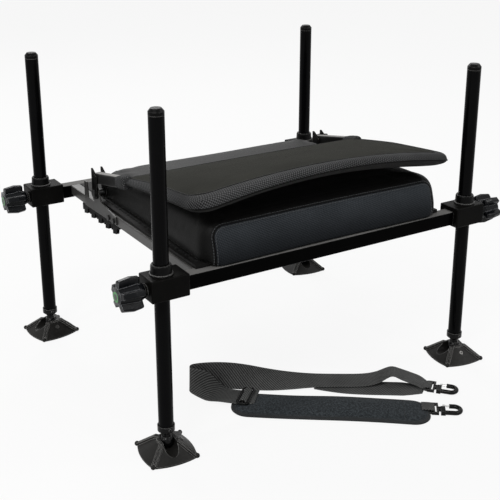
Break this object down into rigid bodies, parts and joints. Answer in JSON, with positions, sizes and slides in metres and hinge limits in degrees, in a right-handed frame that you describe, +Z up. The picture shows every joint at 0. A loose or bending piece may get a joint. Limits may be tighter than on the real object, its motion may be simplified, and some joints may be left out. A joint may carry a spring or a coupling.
{
  "type": "fishing feeder chair",
  "caption": "Fishing chair with a square-tube frame on sliding telescopic legs, clamp knobs, swivel mud feet, padded seat, fold-down backrest and shoulder strap.",
  "frame": {"origin": "on the floor, midway between the four legs", "axes": "+X along the long rails, -Y towards the front edge of the seat, +Z up"},
  "size_m": [0.7872, 0.7447, 0.58],
  "materials": {
    "black_tube": "gloss black coating",
    "black_block": "satin black moulding",
    "foot_stud": "satin black",
    "foot_plastic": "matt dark grey moulding",
    "bright_screw": "plain steel",
    "knob_plastic": "satin black moulding",
    "stud_steel": "plain steel",
    "knob_disc": "black disc with a green ring",
    "seat_panel": "black faced board",
    "seat_cover": "black coated cloth",
    "backrest_cover": "dark grey cloth",
    "arm_metal": "dark satin coating",
    "hinge_metal": "black coating",
    "bolt_steel": "blackened steel",
    "rack_metal": "black coating",
    "strap_pad": "felted dark grey cloth",
    "strap_web": "ribbed dark grey webbing",
    "strap_plastic": "black moulding",
    "gate_steel": "plain steel"
  },
  "bodies": {
    "frame": {"corner_block_front_left": "black_block", "corner_block_back_left": "black_block", "corner_block_front_right": "black_block", "corner_block_back_right": "black_block", "leg_bushes": "black_block", "rail_front": "black_tube", "rail_back": "black_tube", "cross_bar_left": "black_tube", "cross_bar_right": "black_tube", "seat_board": "seat_panel", "cushion_base": "seat_panel", "seat_cushion": "seat_cover", "hinge_plate_left": "hinge_metal", "hinge_plate_right": "hinge_metal", "hinge_bolts": "bolt_steel", "recline_rack_left": "rack_metal", "recline_rack_right": "rack_metal", "shoulder_pad": "strap_pad", "strap_webbing": "strap_web", "slider_buckle": "strap_plastic", "snap_hook_upper": "strap_plastic", "snap_hook_lower": "strap_plastic", "hook_gates": "gate_steel"},
    "backrest": {"backrest_pad": "backrest_cover", "backrest_arm_left": "arm_metal", "backrest_arm_right": "arm_metal", "hinge_fork_left": "hinge_metal", "hinge_fork_right": "hinge_metal"},
    "leg_body_front_left": {"leg_front_left": "black_tube", "leg_cap_front_left": "black_block", "ball_stud_front_left": "foot_stud"},
    "foot_body_front_left": {"foot_front_left": "foot_plastic", "foot_screw_front_left": "bright_screw"},
    "knob_body_front_left": {"knob_front_left": "knob_plastic", "knob_stud_front_left": "stud_steel", "knob_disc_front_left": "knob_disc"},
    "leg_body_back_left": {"leg_back_left": "black_tube", "leg_cap_back_left": "black_block", "ball_stud_back_left": "foot_stud"},
    "foot_body_back_left": {"foot_back_left": "foot_plastic", "foot_screw_back_left": "bright_screw"},
    "knob_body_back_left": {"knob_back_left": "knob_plastic", "knob_stud_back_left": "stud_steel", "knob_disc_back_left": "knob_disc"},
    "leg_body_front_right": {"leg_front_right": "black_tube", "leg_cap_front_right": "black_block", "ball_stud_front_right": "foot_stud"},
    "foot_body_front_right": {"foot_front_right": "foot_plastic", "foot_screw_front_right": "bright_screw"},
    "knob_body_front_right": {"knob_front_right": "knob_plastic", "knob_stud_front_right": "stud_steel", "knob_disc_front_right": "knob_disc"},
    "leg_body_back_right": {"leg_back_right": "black_tube", "leg_cap_back_right": "black_block", "ball_stud_back_right": "foot_stud"},
    "foot_body_back_right": {"foot_back_right": "foot_plastic", "foot_screw_back_right": "bright_screw"},
    "knob_body_back_right": {"knob_back_right": "knob_plastic", "knob_stud_back_right": "stud_steel", "knob_disc_back_right": "knob_disc"}
  },
  "joints": [
    {"name": "backrest_hinge", "type": "hinge", "parent": "frame", "child": "backrest", "pos_m": [0, 0.114, 0.332], "axis": [-1, 0, 0], "range_deg": [0, 95]},
    {"name": "leg_slide_front_left", "type": "slide", "parent": "frame", "child": "leg_body_front_left", "axis": [0, 0, 1], "range_m": [-0.19, 0.21]},
    {"name": "foot_tilt_front_left", "type": "hinge", "parent": "leg_body_front_left", "child": "foot_body_front_left", "pos_m": [-0.316, -0.261, 0.0215], "axis": [1, 0, 0], "range_deg": [-15, 15]},
    {"name": "knob_turn_front_left", "type": "hinge", "parent": "frame", "child": "knob_body_front_left", "pos_m": [-0.371, -0.261, 0.297], "axis": [-1, 0, 0], "continuous": true},
    {"name": "leg_slide_back_left", "type": "slide", "parent": "frame", "child": "leg_body_back_left", "axis": [0, 0, 1], "range_m": [-0.19, 0.21]},
    {"name": "foot_tilt_back_left", "type": "hinge", "parent": "leg_body_back_left", "child": "foot_body_back_left", "pos_m": [-0.316, 0.261, 0.0215], "axis": [1, 0, 0], "range_deg": [-15, 15]},
    {"name": "knob_turn_back_left", "type": "hinge", "parent": "frame", "child": "knob_body_back_left", "pos_m": [-0.371, 0.261, 0.297], "axis": [-1, 0, 0], "continuous": true},
    {"name": "leg_slide_front_right", "type": "slide", "parent": "frame", "child": "leg_body_front_right", "axis": [0, 0, 1], "range_m": [-0.19, 0.21]},
    {"name": "foot_tilt_front_right", "type": "hinge", "parent": "leg_body_front_right", "child": "foot_body_front_right", "pos_m": [0.316, -0.261, 0.0215], "axis": [1, 0, 0], "range_deg": [-15, 15]},
    {"name": "knob_turn_front_right", "type": "hinge", "parent": "frame", "child": "knob_body_front_right", "pos_m": [0.371, -0.261, 0.297], "axis": [1, 0, 0], "continuous": true},
    {"name": "leg_slide_back_right", "type": "slide", "parent": "frame", "child": "leg_body_back_right", "axis": [0, 0, 1], "range_m": [-0.19, 0.21]},
    {"name": "foot_tilt_back_right", "type": "hinge", "parent": "leg_body_back_right", "child": "foot_body_back_right", "pos_m": [0.316, 0.261, 0.0215], "axis": [1, 0, 0], "range_deg": [-15, 15]},
    {"name": "knob_turn_back_right", "type": "hinge", "parent": "frame", "child": "knob_body_back_right", "pos_m": [0.371, 0.261, 0.297], "axis": [1, 0, 0], "continuous": true}
  ]
}
